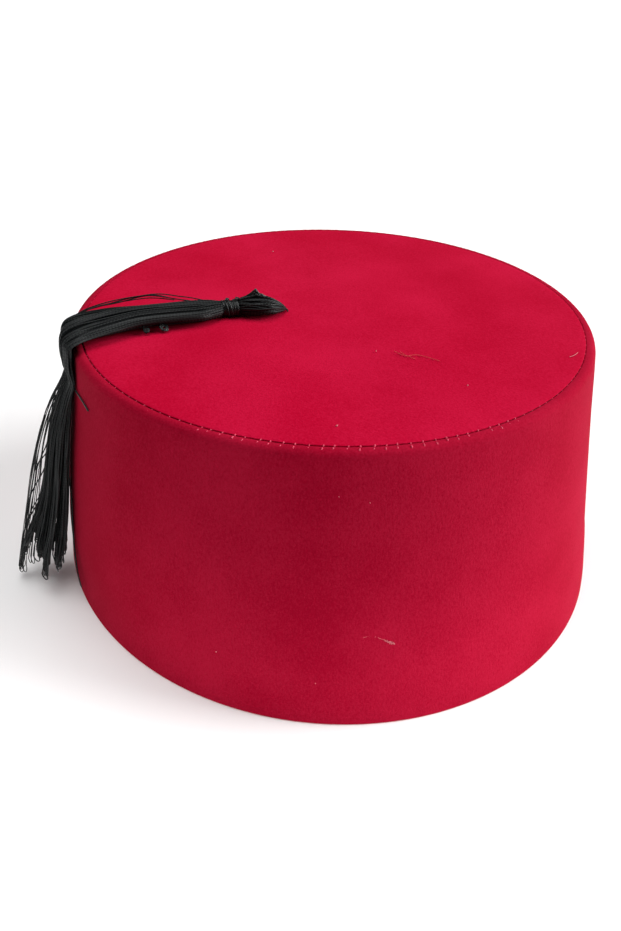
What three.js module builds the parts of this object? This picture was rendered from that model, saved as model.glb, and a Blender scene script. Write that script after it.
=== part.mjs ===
// A fez: a low felt cap with a flat crown, a tapered side band and a tassel of black threads that lies
// over the crown, rolls over its edge and hangs down the band.
// Millimetres, +Z up. The origin is the centre of the head opening, on the plane that the rim rests on.

import * as THREE from 'three';

// The felt body
const RIM_RADIUS = 95.5;
const CROWN_RADIUS = 82;
const HEIGHT = 85;
const FELT = 2.5;
const GAP = 0.3;
const CORNER_EASE = 0.4; // how far the crown's flat top stops short of the corner
const BODY_FACETS = 96;

// The tassel, in a frame of its own: X runs outwards along its line, Y to the left of it
const TASSEL_DIRECTION_DEG = 225;
const HEAD_TIP = 15;
const TIE_START = 30.4;
const TIE_END = 35.9;
const TIE_RADIUS = 2.6;
const TIE_SWELL = 0.25; // how much the wrapping bulges between its ends
const TIE_SIDE = -4.4;
const KNOT_RADIUS = 1.2;
const KNOT_OUT = 24.6;
const KNOT_SIDE = -4;
const SECTION_SIDES = 18;
const RINGS_PER_ROW = 3;

const FELT_RED = new THREE.MeshStandardMaterial({ color: 0xc01036, roughness: 0.95, metalness: 0 });
const BAND_RED = new THREE.MeshStandardMaterial({ color: 0xa8122f, roughness: 0.95, metalness: 0 });
const THREAD_BLACK = new THREE.MeshStandardMaterial({ color: 0x15171a, roughness: 0.45, metalness: 0 });
const TIE_BLACK = new THREE.MeshStandardMaterial({ color: 0x1c1f22, roughness: 0.5, metalness: 0 });
const KNOT_BLACK = new THREE.MeshStandardMaterial({ color: 0x101214, roughness: 0.5, metalness: 0 });

const BAND_TAPER = (RIM_RADIUS - CROWN_RADIUS) / HEIGHT;
const BAND_WALL = FELT * Math.hypot(1, BAND_TAPER); // the band's thickness measured level

function bandRadius(z) {
  return RIM_RADIUS - BAND_TAPER * z;
}

// Crown and band meet in a mitre at the corner, so that their seam runs along the edge of the crown.
function mitreHeight(startRadius, mitreOffset) {
  const crownMitreAtFloor = CROWN_RADIUS - CORNER_EASE - HEIGHT + mitreOffset;
  return (startRadius - crownMitreAtFloor) / (1 + BAND_TAPER);
}

function lathe(outline) {
  const closed = [...outline, outline[0]];
  const points = closed.map(([radius, z]) => new THREE.Vector2(radius, z));
  const geometry = new THREE.LatheGeometry(points, BODY_FACETS);
  geometry.rotateX(Math.PI / 2);
  return geometry;
}

function crownGeometry() {
  const flatRadius = CROWN_RADIUS - CORNER_EASE;
  return lathe([
    [0, HEIGHT - FELT],
    [flatRadius - FELT, HEIGHT - FELT],
    [flatRadius, HEIGHT],
    [0, HEIGHT],
  ]);
}

function bandGeometry() {
  const seamGap = GAP * Math.SQRT2;
  const outerTop = mitreHeight(RIM_RADIUS, seamGap);
  const innerTop = mitreHeight(RIM_RADIUS - BAND_WALL, seamGap);
  return lathe([
    [RIM_RADIUS - BAND_WALL, 0],
    [RIM_RADIUS, 0],
    [bandRadius(outerTop), outerTop],
    [bandRadius(innerTop) - BAND_WALL, innerTop],
  ]);
}

// Each row is one section of a bundle of threads. out and side place its middle and z its height,
// lean is its direction of travel (0 along the crown, 90 straight down), width is across the tassel
// and thick is at a right angle to the surface that it lies on.
const ON_CROWN = HEIGHT + GAP;
const HEAD_SECTIONS = [
  { out: HEAD_TIP, side: -3.9, z: ON_CROWN + 0.6, lean: 0, width: 0.8, thick: 0.8 },
  { out: 17.0, side: -3.2, z: ON_CROWN + 1.6, lean: 0, width: 4.6, thick: 3.0 },
  { out: 20.4, side: -2.4, z: ON_CROWN + 2.7, lean: 0, width: 7.8, thick: 5.2 },
  { out: 24.0, side: -2.6, z: ON_CROWN + 3.2, lean: 0, width: 9.2, thick: 6.2 },
  { out: 27.6, side: -3.3, z: ON_CROWN + 3.1, lean: 0, width: 7.8, thick: 6.0 },
  { out: TIE_START - GAP, side: TIE_SIDE, z: ON_CROWN + 2.6, lean: 0, width: 5.4, thick: 4.8 },
];

// A section that hangs beside the band, between an inner and an outer distance from it
function besideBand(z, side, width, inner, outer) {
  return { out: bandRadius(z) + (inner + outer) / 2, side, z, lean: 90, width, thick: outer - inner };
}
const SKIRT_SECTIONS = [
  { out: TIE_END + GAP, side: -4.6, z: ON_CROWN + 2.5, lean: 0, width: 5.2, thick: 4.6 },
  { out: 39.0, side: -4.4, z: ON_CROWN + 2.6, lean: 0, width: 8.6, thick: 5.0 },
  { out: 43.5, side: -3.5, z: ON_CROWN + 2.9, lean: 0, width: 10.6, thick: 5.6 },
  { out: 52.0, side: -3.2, z: ON_CROWN + 3.1, lean: 0, width: 10.4, thick: 6.0 },
  { out: 62.0, side: -3.2, z: ON_CROWN + 3.1, lean: 0, width: 11.4, thick: 6.0 },
  { out: 70.0, side: -2.7, z: ON_CROWN + 2.8, lean: 0, width: 16.4, thick: 5.4 },
  { out: 77.0, side: -1.2, z: ON_CROWN + 2.5, lean: 6, width: 19.2, thick: 4.6 },
  { out: 80.6, side: 0.4, z: ON_CROWN + 2.3, lean: 18, width: 20.4, thick: 4.2 },
  { out: 83.8, side: 1.3, z: ON_CROWN + 1.0, lean: 45, width: 21.0, thick: 3.8 },
  { out: 84.6, side: 1.9, z: ON_CROWN - 2.0, lean: 70, width: 21.4, thick: 3.6 },
  { out: 84.8, side: 2.6, z: ON_CROWN - 5.4, lean: 84, width: 20.5, thick: 3.2 },
  besideBand(76, 3.6, 19.0, 0.4, 2.1),
  besideBand(71.5, 3.6, 17.5, 0.4, 3.6),
  besideBand(66, 4.0, 16.5, 0.4, 5.4),
  besideBand(58, 4.5, 16.5, 0.4, 7.5),
  besideBand(48, 5.0, 17.0, 0.5, 8.7),
  besideBand(36, 5.5, 18.0, 0.6, 9.8),
  besideBand(25, 6.0, 20.0, 0.6, 12.0),
  besideBand(14, 6.0, 22.0, 0.8, 14.8),
  besideBand(4, 6.0, 24.0, 1.0, 16.2),
];

function alongRows(rows, columns, t) {
  const points = rows.map((row) => new THREE.Vector3(...columns.map((column) => row[column])));
  return new THREE.CatmullRomCurve3(points, false, 'catmullrom', 0.5).getPoint(t);
}

function sectionRing(rows, t) {
  const middle = alongRows(rows, ['out', 'side', 'z'], t);
  const form = alongRows(rows, ['width', 'thick', 'lean'], t);
  const lean = THREE.MathUtils.degToRad(form.z);
  const across = new THREE.Vector3(0, 1, 0);
  const outward = new THREE.Vector3(Math.sin(lean), 0, Math.cos(lean));
  const ring = [];
  for (let side = 0; side < SECTION_SIDES; side += 1) {
    const angle = (2 * Math.PI * side) / SECTION_SIDES;
    const point = middle.clone();
    point.addScaledVector(across, (form.x / 2) * Math.cos(angle));
    point.addScaledVector(outward, (form.y / 2) * Math.sin(angle));
    ring.push(point);
  }
  return { middle, ring };
}

// Joins a row of rings into one closed skin, with a fan over each end.
function loft(rows) {
  const ringCount = (rows.length - 1) * RINGS_PER_ROW + 1;
  const sections = [];
  for (let index = 0; index < ringCount; index += 1) {
    sections.push(sectionRing(rows, index / (ringCount - 1)));
  }
  const points = sections.flatMap((section) => section.ring);
  const firstMiddle = points.push(sections[0].middle) - 1;
  const lastMiddle = points.push(sections[ringCount - 1].middle) - 1;
  const lastRing = (ringCount - 1) * SECTION_SIDES;
  const faces = [];
  for (let side = 0; side < SECTION_SIDES; side += 1) {
    const next = (side + 1) % SECTION_SIDES;
    faces.push(firstMiddle, next, side);
    faces.push(lastMiddle, lastRing + side, lastRing + next);
    for (let ring = 0; ring < ringCount - 1; ring += 1) {
      const near = ring * SECTION_SIDES;
      const far = near + SECTION_SIDES;
      faces.push(near + side, far + next, far + side);
      faces.push(near + side, near + next, far + next);
    }
  }
  const geometry = new THREE.BufferGeometry();
  geometry.setFromPoints(points);
  geometry.setIndex(faces);
  geometry.computeVertexNormals();
  return geometry;
}

// The wrapped threads that bind the tassel below its head, as a barrel lying along X
function tieGeometry() {
  const length = TIE_END - TIE_START;
  const outline = [
    [0, 0],
    [TIE_RADIUS - TIE_SWELL, 0],
    [TIE_RADIUS, length / 4],
    [TIE_RADIUS, (3 * length) / 4],
    [TIE_RADIUS - TIE_SWELL, length],
    [0, length],
  ];
  const points = outline.map(([radius, along]) => new THREE.Vector2(radius, along));
  const geometry = new THREE.LatheGeometry(points, SECTION_SIDES);
  geometry.rotateZ(-Math.PI / 2);
  return geometry;
}

function named(name, geometry, material) {
  const mesh = new THREE.Mesh(geometry, material);
  mesh.name = name;
  return mesh;
}

function tassel() {
  const group = new THREE.Group();
  group.rotation.z = THREE.MathUtils.degToRad(TASSEL_DIRECTION_DEG);
  group.add(named('tassel_head', loft(HEAD_SECTIONS), THREAD_BLACK));
  group.add(named('tassel_skirt', loft(SKIRT_SECTIONS), THREAD_BLACK.clone()));

  const tie = named('tassel_tie', tieGeometry(), TIE_BLACK);
  tie.position.set(TIE_START, TIE_SIDE, ON_CROWN + TIE_RADIUS);
  group.add(tie);

  const knot = named('tie_knot', new THREE.SphereGeometry(KNOT_RADIUS, 16, 10), KNOT_BLACK);
  const headTop = ON_CROWN + 6.4;
  knot.position.set(KNOT_OUT, KNOT_SIDE, headTop + GAP + KNOT_RADIUS);
  group.add(knot);
  return group;
}

const fez = new THREE.Group();
fez.add(named('crown_tip', crownGeometry(), FELT_RED));
fez.add(named('side_band', bandGeometry(), BAND_RED));
fez.add(tassel());

export default fez;
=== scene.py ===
# %% [markdown]
# # A felt fez with a thread tassel
#
# The hat is two pieces of red felt, a flat crown and a tapered band, sewn together along the crown's
# edge. A tassel of black rayon threads is sewn near the middle of the crown, lies across it, rolls over
# its edge and hangs down the band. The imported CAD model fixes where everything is, so it comes first.

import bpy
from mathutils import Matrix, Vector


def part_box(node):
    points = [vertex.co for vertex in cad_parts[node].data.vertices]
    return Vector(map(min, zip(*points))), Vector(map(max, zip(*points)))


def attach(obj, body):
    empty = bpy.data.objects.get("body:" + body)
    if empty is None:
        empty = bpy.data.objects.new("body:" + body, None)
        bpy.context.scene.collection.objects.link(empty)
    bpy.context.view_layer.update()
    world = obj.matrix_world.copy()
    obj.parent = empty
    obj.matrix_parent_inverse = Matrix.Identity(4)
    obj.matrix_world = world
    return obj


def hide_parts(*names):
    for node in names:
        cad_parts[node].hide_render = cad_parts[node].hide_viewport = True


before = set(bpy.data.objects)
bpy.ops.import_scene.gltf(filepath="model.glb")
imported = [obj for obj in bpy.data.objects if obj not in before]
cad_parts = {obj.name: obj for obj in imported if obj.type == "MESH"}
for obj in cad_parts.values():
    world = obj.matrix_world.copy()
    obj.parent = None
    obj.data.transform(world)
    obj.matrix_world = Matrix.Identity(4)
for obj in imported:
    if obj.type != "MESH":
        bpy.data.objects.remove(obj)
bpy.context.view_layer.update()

# %% Tools
import math
import random
from collections import namedtuple

import bpy
import numpy as np
from mathutils import Matrix, Vector

MM = 0.001  # the meshes are worked out in millimetres
random_source = random.Random(11)

# %% [markdown]
# The hat's driving sizes are read back from the CAD nodes. The crown's flat top stops a little short of
# the corner, so its radius is the box plus that ease, and the band's wall is a straight cone from there
# to the rim.

# %% Sizes of the hat
CORNER_EASE = 0.4
crown_low, crown_high = (np.array(corner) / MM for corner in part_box("crown_tip"))
band_high = np.array(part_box("side_band")[1]) / MM
HEIGHT = crown_high[2]
FELT = crown_high[2] - crown_low[2]
RIM_RADIUS = band_high[0]
CROWN_RADIUS = crown_high[0] + CORNER_EASE
TAPER = (RIM_RADIUS - CROWN_RADIUS) / HEIGHT
BAND_WALL = FELT * math.hypot(1, TAPER)


def band_radius(z):
    return RIM_RADIUS - TAPER * z


print(f"rim {RIM_RADIUS:.1f}, crown {CROWN_RADIUS:.1f}, height {HEIGHT:.1f}, felt {FELT:.1f} mm")

# %% [markdown]
# The camera looks down on the hat from close by, so the rim looks wide and the sides lean in. Its place
# is given in a frame that is turned with the view, and so is each light's direction.

# %% Camera
VIEW_AZIMUTH = 28.0
VIEW_PITCH = 35.14
VIEW_ROLL = 1.36
CAMERA_SPOT = Vector((-6.2, -241.4, 193.5)) * MM
FOCAL_LENGTH_IN_IMAGE_HEIGHTS = 0.859
SENSOR = 36.0

turned = Matrix.Rotation(math.radians(VIEW_AZIMUTH), 4, "Z")
looking_down = Matrix.Rotation(math.radians(90 - VIEW_PITCH), 4, "X")
rolled = Matrix.Rotation(math.radians(VIEW_ROLL), 4, "Z")

camera_data = bpy.data.cameras.new("camera")
camera_data.sensor_fit = "VERTICAL"
camera_data.sensor_height = SENSOR
camera_data.sensor_width = SENSOR
camera_data.lens = SENSOR * FOCAL_LENGTH_IN_IMAGE_HEIGHTS
camera_data.clip_start = 0.01
camera = bpy.data.objects.new("camera", camera_data)
camera.matrix_world = turned @ Matrix.Translation(CAMERA_SPOT) @ looking_down @ rolled
bpy.context.collection.objects.link(camera)
bpy.context.scene.camera = camera
bpy.context.scene.view_settings.view_transform = "Standard"
print(f"lens {camera_data.lens:.1f} mm, {camera.location.length:.3f} m from the origin")

# %% [markdown]
# A plain studio: a white floor, a pale grey backdrop that gives almost no light, one wide soft light
# from the right, one from above and a weak one from the left. Suns with a wide angle cast soft shadows
# and light the whole floor evenly, which an area lamp near the hat wouldn't. A row of low cards in front
# brightens the lower part of the band, as white card laid on a table does. The floor's underside is clear
# and lets a narrow light from below through, so that the hollow can be looked into. That light misses the
# band's outer wall, which faces a little upwards.


# %% Lights
def soft_sun(name, azimuth, elevation, strength, width):
    """azimuth is 0 to the right of the view and 90 behind the hat; all angles are in degrees."""
    lamp = bpy.data.lights.new(name, "SUN")
    lamp.energy = strength
    lamp.angle = math.radians(width)
    shining = bpy.data.objects.new(name, lamp)
    a, e = math.radians(azimuth + VIEW_AZIMUTH), math.radians(elevation)
    towards = Vector((math.cos(a) * math.cos(e), math.sin(a) * math.cos(e), math.sin(e)))
    shining.rotation_euler = towards.to_track_quat("Z", "Y").to_euler()
    bpy.context.collection.objects.link(shining)
    return shining


KEY_STRENGTH = 4.85
TOP_STRENGTH = 2.5
FILL_STRENGTH = 0.55
UNDER_STRENGTH = 2.4
CARD_POWER = 0.012
SKY_STRENGTH = 0.02
BACKDROP_STRENGTH = 1.0  # as the camera sees it
soft_sun("key_light", azimuth=8, elevation=21, strength=KEY_STRENGTH, width=40)
soft_sun("top_light", azimuth=120, elevation=84, strength=TOP_STRENGTH, width=50)
soft_sun("fill_light", azimuth=165, elevation=20, strength=FILL_STRENGTH, width=60)
soft_sun("under_light", azimuth=0, elevation=-90, strength=UNDER_STRENGTH, width=4)


CARD_TALL, CARD_LONG = 0.024, 0.08
CARD_DISTANCE, CARD_RISE = 0.145, 0.016  # from the hat's axis, and from the floor
CARD_TILT = 0.25


def floor_card(name, azimuth, power):
    """A white card that stands just off the floor and leans back a little from the hat."""
    lamp = bpy.data.lights.new(name, "AREA")
    lamp.shape = "RECTANGLE"
    lamp.size, lamp.size_y = CARD_TALL, CARD_LONG
    lamp.energy = power
    card = bpy.data.objects.new(name, lamp)
    a = math.radians(azimuth + VIEW_AZIMUTH)
    card.location = (CARD_DISTANCE * math.cos(a), CARD_DISTANCE * math.sin(a), CARD_RISE)
    away = Vector((math.cos(a), math.sin(a), -CARD_TILT))
    card.rotation_euler = away.to_track_quat("Z", "X").to_euler()
    card.visible_camera = False
    bpy.context.collection.objects.link(card)
    return card


CARD_SPOTS = [(226, 0.65), (247, 0.6), (268, 0.8), (289, 1.15), (310, 0.75), (331, 0.4)]  # azimuth, share
for place, (azimuth, share) in enumerate(CARD_SPOTS):
    floor_card(f"card_{place}", azimuth, CARD_POWER * share)

world = bpy.data.worlds.new("studio")
bpy.context.scene.world = world
world.use_nodes = True
sky_nodes = world.node_tree.nodes
sky_links = world.node_tree.links
lighting = sky_nodes["Background"]
lighting.inputs["Color"].default_value = (1.0, 1.0, 1.0, 1.0)
lighting.inputs["Strength"].default_value = SKY_STRENGTH
seen = sky_nodes.new("ShaderNodeBackground")
seen.inputs["Strength"].default_value = BACKDROP_STRENGTH
rays = sky_nodes.new("ShaderNodeLightPath")
either = sky_nodes.new("ShaderNodeMixShader")
sky_links.new(rays.outputs["Is Camera Ray"], either.inputs["Fac"])
sky_links.new(lighting.outputs["Background"], either.inputs[1])
sky_links.new(seen.outputs["Background"], either.inputs[2])
sky_links.new(either.outputs["Shader"], sky_nodes["World Output"].inputs["Surface"])
print("key", KEY_STRENGTH, "top", TOP_STRENGTH, "sky", SKY_STRENGTH, "cards", CARD_POWER)

# %% [markdown]
# The floor is one large pale square. A plain slab would do for the view from above, but the hat is hollow
# and open below, so the floor's material is seen from above only: from below it is clear.

# %% Floor
FLOOR_HALF = 8.0
FLOOR_GREY = 0.83
floor_mesh = bpy.data.meshes.new("floor")
floor_corners = [(x * FLOOR_HALF, y * FLOOR_HALF, 0.0) for x, y in ((-1, -1), (1, -1), (1, 1), (-1, 1))]
floor_mesh.from_pydata(floor_corners, [], [(0, 1, 2, 3)])
floor = bpy.data.objects.new("floor", floor_mesh)
bpy.context.collection.objects.link(floor)

floor_material = bpy.data.materials.new("studio_floor")
floor_material.use_nodes = True
floor_nodes = floor_material.node_tree.nodes
floor_links = floor_material.node_tree.links
floor_surface = floor_nodes["Principled BSDF"]
floor_surface.inputs["Base Color"].default_value = (FLOOR_GREY, FLOOR_GREY, FLOOR_GREY, 1.0)
floor_surface.inputs["Roughness"].default_value = 0.9
floor_surface.inputs["Specular IOR Level"].default_value = 0.1
facing = floor_nodes.new("ShaderNodeNewGeometry")
floor_rays = floor_nodes.new("ShaderNodeLightPath")
see_through = floor_nodes.new("ShaderNodeMath")
see_through.operation = "MAXIMUM"
clear = floor_nodes.new("ShaderNodeBsdfTransparent")
one_sided = floor_nodes.new("ShaderNodeMixShader")
floor_links.new(facing.outputs["Backfacing"], see_through.inputs[0])
floor_links.new(floor_rays.outputs["Is Shadow Ray"], see_through.inputs[1])
floor_links.new(see_through.outputs["Value"], one_sided.inputs["Fac"])
floor_links.new(floor_surface.outputs["BSDF"], one_sided.inputs[1])
floor_links.new(clear.outputs["BSDF"], one_sided.inputs[2])
floor_links.new(one_sided.outputs["Shader"], floor_nodes["Material Output"].inputs["Surface"])
floor_mesh.materials.append(floor_material)
print(f"floor {2 * FLOOR_HALF:.0f} m across, grey {FLOOR_GREY}")

# %% [markdown]
# Two effects are used by more than one material, so each is a shader node group with named inputs and
# outputs. `Felt nap` is pressed wool brushed in one direction: a fine grain of fibre ends, longer
# streaks along the brushing, and wide soft clouds where the nap lies differently. The same three
# noises drive the colour, the roughness and the small bumps, so that they agree.


# %% Helpers for node groups
def new_group(name, inputs, outputs):
    """inputs and outputs map each socket's name to its type and, for inputs, a starting value."""
    group = bpy.data.node_groups.new(name, "ShaderNodeTree")
    for label, (kind, start) in inputs.items():
        socket = group.interface.new_socket(label, in_out="INPUT", socket_type=kind)
        if start is not None:
            socket.default_value = start
    for label, kind in outputs.items():
        group.interface.new_socket(label, in_out="OUTPUT", socket_type=kind)
    return group, group.nodes.new("NodeGroupInput"), group.nodes.new("NodeGroupOutput")


def sums(group, operation, first, second):
    """A Math node on two sockets or numbers; returns its output socket."""
    node = group.nodes.new("ShaderNodeMath")
    node.operation = operation
    for place, value in enumerate((first, second)):
        if isinstance(value, (int, float)):
            node.inputs[place].default_value = value
        elif value is not None:
            group.links.new(value, node.inputs[place])
    return node.outputs["Value"]


def noise_at(group, vector, scale, detail, roughness=0.5):
    """A 3D noise of the given scale (number or socket); returns its 0 to 1 output."""
    node = group.nodes.new("ShaderNodeTexNoise")
    node.inputs["Detail"].default_value = detail
    node.inputs["Roughness"].default_value = roughness
    if isinstance(scale, (int, float)):
        node.inputs["Scale"].default_value = scale
    else:
        group.links.new(scale, node.inputs["Scale"])
    group.links.new(vector, node.inputs["Vector"])
    return node.outputs["Fac"]


def blended(group, amount, first, second):
    """A colour mix of two colour sockets by amount; returns its output socket."""
    node = group.nodes.new("ShaderNodeMix")
    node.data_type = "RGBA"
    group.links.new(amount, node.inputs["Factor"])
    group.links.new(first, node.inputs["A"])
    group.links.new(second, node.inputs["B"])
    return node.outputs["Result"]


FLOAT, COLOUR, VECTOR = "NodeSocketFloat", "NodeSocketColor", "NodeSocketVector"


# %% Node group: felt nap
def make_felt_nap():
    group, given, out = new_group(
        "Felt nap",
        {
            "Light Color": (COLOUR, (0.55, 0.01, 0.04, 1.0)),
            "Dark Color": (COLOUR, (0.45, 0.005, 0.03, 1.0)),
            "Brushing": (VECTOR, (1.0, 1.0, 1.0)),
            "Grain Per Metre": (FLOAT, 1100.0),
            "Bump Height": (FLOAT, 0.15),
        },
        {"Color": COLOUR, "Roughness": FLOAT, "Normal": VECTOR},
    )
    place = group.nodes.new("ShaderNodeTexCoord").outputs["Object"]
    stretched = group.nodes.new("ShaderNodeVectorMath")
    stretched.operation = "MULTIPLY"
    group.links.new(place, stretched.inputs[0])
    group.links.new(given.outputs["Brushing"], stretched.inputs[1])
    grain = noise_at(group, place, given.outputs["Grain Per Metre"], 3.0, 0.6)
    streak_scale = sums(group, "MULTIPLY", given.outputs["Grain Per Metre"], 0.8)
    streaks = noise_at(group, stretched.outputs["Vector"], streak_scale, 2.0)
    clouds = noise_at(group, place, 38.0, 3.0, 0.45)
    fibres = sums(group, "ADD", sums(group, "MULTIPLY", grain, 0.6), sums(group, "MULTIPLY", streaks, 0.4))
    # Noise stays near its middle, so the share of light felt is stretched about 0.5.
    fine = sums(group, "MULTIPLY", sums(group, "SUBTRACT", fibres, 0.5), 3.3)
    wide = sums(group, "MULTIPLY", sums(group, "SUBTRACT", clouds, 0.5), 1.9)
    share = group.nodes.new("ShaderNodeClamp")
    group.links.new(sums(group, "ADD", sums(group, "ADD", fine, wide), 0.5), share.inputs["Value"])
    light, dark = given.outputs["Light Color"], given.outputs["Dark Color"]
    colour = blended(group, share.outputs["Result"], dark, light)
    group.links.new(colour, out.inputs["Color"])
    polish = sums(group, "MULTIPLY", fibres, 0.25)
    group.links.new(sums(group, "SUBTRACT", 1.0, polish), out.inputs["Roughness"])
    bump = group.nodes.new("ShaderNodeBump")
    bump.inputs["Strength"].default_value = 0.7
    height = sums(group, "MULTIPLY", fibres, given.outputs["Bump Height"])
    group.links.new(sums(group, "MULTIPLY", height, MM), bump.inputs["Height"])
    bump.inputs["Distance"].default_value = 1.0
    group.links.new(bump.outputs["Normal"], out.inputs["Normal"])
    return group


felt_nap = make_felt_nap()
print("node group", felt_nap.name, "with", len(felt_nap.nodes), "nodes")

# %% [markdown]
# `Twisted thread` reads the map that every thread mesh carries: along the thread in millimetres and once
# round it. A slanted stripe on that map is the lay of the twisted plies. It gives the bumps, and it also
# paints the colour lighter along each ply's crest and darker in the hollows between: painted highlight and
# painted shade. The whole-number part of the second coordinate differs from thread to thread, so the group
# can also give each its own tone.


# %% Node group: twisted thread
THREAD_MAP = "thread"


def make_twisted_thread():
    group, given, out = new_group(
        "Twisted thread",
        {
            "Crest Highlight Color": (COLOUR, (0.03, 0.03, 0.03, 1.0)),
            "Hollow Shade Color": (COLOUR, (0.005, 0.005, 0.006, 1.0)),
            "Plies Per Millimetre": (FLOAT, 1.0),
            "Ply Height": (FLOAT, 0.05),
            "Shade Range": (FLOAT, 0.5),
        },
        {"Color": COLOUR, "Roughness": FLOAT, "Normal": VECTOR},
    )
    uv = group.nodes.new("ShaderNodeUVMap")
    uv.uv_map = THREAD_MAP
    parts = group.nodes.new("ShaderNodeSeparateXYZ")
    group.links.new(uv.outputs["UV"], parts.inputs["Vector"])
    along = sums(group, "MULTIPLY", parts.outputs["X"], given.outputs["Plies Per Millimetre"])
    lay = sums(group, "ADD", along, parts.outputs["Y"])
    crest = sums(group, "PINGPONG", lay, 0.5)
    crest = sums(group, "MULTIPLY", crest, 2.0)
    own = group.nodes.new("ShaderNodeTexWhiteNoise")
    own.noise_dimensions = "1D"
    group.links.new(sums(group, "FLOOR", parts.outputs["Y"], None), own.inputs["W"])
    shade = sums(group, "MULTIPLY", own.outputs["Value"], given.outputs["Shade Range"])
    lit = sums(group, "MULTIPLY", crest, sums(group, "SUBTRACT", 1.0, shade))
    # Painted highlight and painted shade: the colour runs from the hollow colour between the plies to the
    # lighter crest colour on each ply's crest.
    colour = blended(group, lit, given.outputs["Hollow Shade Color"], given.outputs["Crest Highlight Color"])
    group.links.new(colour, out.inputs["Color"])
    dullness = sums(group, "MULTIPLY", shade, 0.35)
    group.links.new(sums(group, "ADD", 0.30, dullness), out.inputs["Roughness"])
    bump = group.nodes.new("ShaderNodeBump")
    bump.inputs["Strength"].default_value = 0.6
    bump.inputs["Distance"].default_value = 1.0
    height = sums(group, "MULTIPLY", crest, given.outputs["Ply Height"])
    group.links.new(sums(group, "MULTIPLY", height, MM), bump.inputs["Height"])
    group.links.new(bump.outputs["Normal"], out.inputs["Normal"])
    return group


twisted_thread = make_twisted_thread()
print("node group", twisted_thread.name, "with", len(twisted_thread.nodes), "nodes")

# %% [markdown]
# Each material is a Principled surface with one of the groups in front of it. What is the same all over,
# such as the sheen that stands for fibre ends catching light at a shallow angle, is set on the surface
# itself.


# %% Materials
def new_material(name, group, group_values, surface_values):
    material = bpy.data.materials.new(name)
    material.use_nodes = True
    nodes, links = material.node_tree.nodes, material.node_tree.links
    surface = nodes["Principled BSDF"]
    effect = nodes.new("ShaderNodeGroup")
    effect.node_tree = group
    for label, value in group_values.items():
        effect.inputs[label].default_value = value
    for label, value in surface_values.items():
        surface.inputs[label].default_value = value
    links.new(effect.outputs["Color"], surface.inputs["Base Color"])
    links.new(effect.outputs["Roughness"], surface.inputs["Roughness"])
    links.new(effect.outputs["Normal"], surface.inputs["Normal"])
    return material


FELT_SURFACE = {
    "Specular IOR Level": 0.02,
    "Sheen Weight": 0.012,
    "Sheen Roughness": 0.4,
    "Sheen Tint": (1.0, 0.85, 0.85, 1.0),
}
crown_felt = new_material(
    "crown_felt",
    felt_nap,
    {
        "Light Color": (0.435, 0.0042, 0.033, 1.0),
        "Dark Color": (0.352, 0.0002, 0.018, 1.0),
        "Brushing": (0.6, 1.0, 1.0),
        "Grain Per Metre": 2100.0,
        "Bump Height": 0.16,
    },
    FELT_SURFACE,
)
# Painted shade: the band is the same red felt as the crown, but its colours are set darker than the crown's,
# for walls that get less light than the top.
band_felt = new_material(
    "band_felt",
    felt_nap,
    {
        "Light Color": (0.340, 0.0054, 0.027, 1.0),
        "Dark Color": (0.270, 0.0010, 0.0155, 1.0),
        "Brushing": (1.0, 1.0, 0.5),
        "Grain Per Metre": 2100.0,
        "Bump Height": 0.16,
    },
    FELT_SURFACE,
)


def thread_material(name, crest, hollow, plies, ply_height, shade_range, specular):
    values = {
        "Crest Highlight Color": (*crest, 1.0),
        "Hollow Shade Color": (*hollow, 1.0),
        "Plies Per Millimetre": plies,
        "Ply Height": ply_height,
        "Shade Range": shade_range,
    }
    return new_material(name, twisted_thread, values, {"Specular IOR Level": specular})


# Each thread's crest colour is lighter than its hollow colour: painted highlight on the ply crests and
# painted shade in the hollows between them.
BLACK_HOLLOW_SHADE = (0.003, 0.003, 0.004)
black_thread = thread_material("tassel_thread", (0.027, 0.032, 0.031), BLACK_HOLLOW_SHADE, 1.0, 0.06, 0.7, 0.16)
wound_thread = thread_material("tie_thread", (0.025, 0.029, 0.028), BLACK_HOLLOW_SHADE, 1.6, 0.03, 0.3, 0.3)
STITCH_CREST_HIGHLIGHT, STITCH_HOLLOW_SHADE = (0.72, 0.085, 0.16), (0.52, 0.03, 0.07)
stitch_thread = thread_material("stitch_thread", STITCH_CREST_HIGHLIGHT, STITCH_HOLLOW_SHADE, 2.2, 0.03, 0.5, 0.15)
pale_lint = thread_material("pale_lint", (0.70, 0.26, 0.30), (0.56, 0.12, 0.15), 1.5, 0.01, 0.6, 0.1)
straw_lint = thread_material("straw_lint", (0.60, 0.11, 0.10), (0.50, 0.05, 0.05), 0.8, 0.01, 0.3, 0.1)
print("materials:", [m.name for m in bpy.data.materials])

# %% [markdown]
# Felt has no weave to draw, so what tells it from plastic is its form: cut edges that are rounded and a
# little swollen, a surface that is never quite true, and a seam that draws the edge in at each stitch.
# Both felt pieces are turned profiles with many steps round, and one function then moves every point, so
# that the crown and the band bend together.


# %% Profile helpers
def rounded(corners, closed):
    """Rounds a profile's corners and divides its runs. A corner is (r, z, rounding, step to the next)."""
    count = len(corners)
    profile = []
    for index, (r, z, rounding, step) in enumerate(corners):
        here = np.array((r, z))
        before = np.array(corners[index - 1][:2])
        after = np.array(corners[(index + 1) % count][:2])
        if not closed and index in (0, count - 1):
            arc = [here]
        else:
            arc = corner_arc(before, here, after, rounding)
        if profile:
            profile.extend(between(profile[-1], arc[0], corners[index - 1][3]))
        profile.extend(arc)
    if closed:
        profile.extend(between(profile[-1], profile[0], corners[-1][3]))
    return np.array(profile)


def between(start, end, step):
    """The points that divide a run into parts no longer than step."""
    parts = max(1, math.ceil(np.linalg.norm(end - start) / step))
    return [start + (end - start) * part / parts for part in range(1, parts)]


ARC_STEPS = 7


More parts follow.
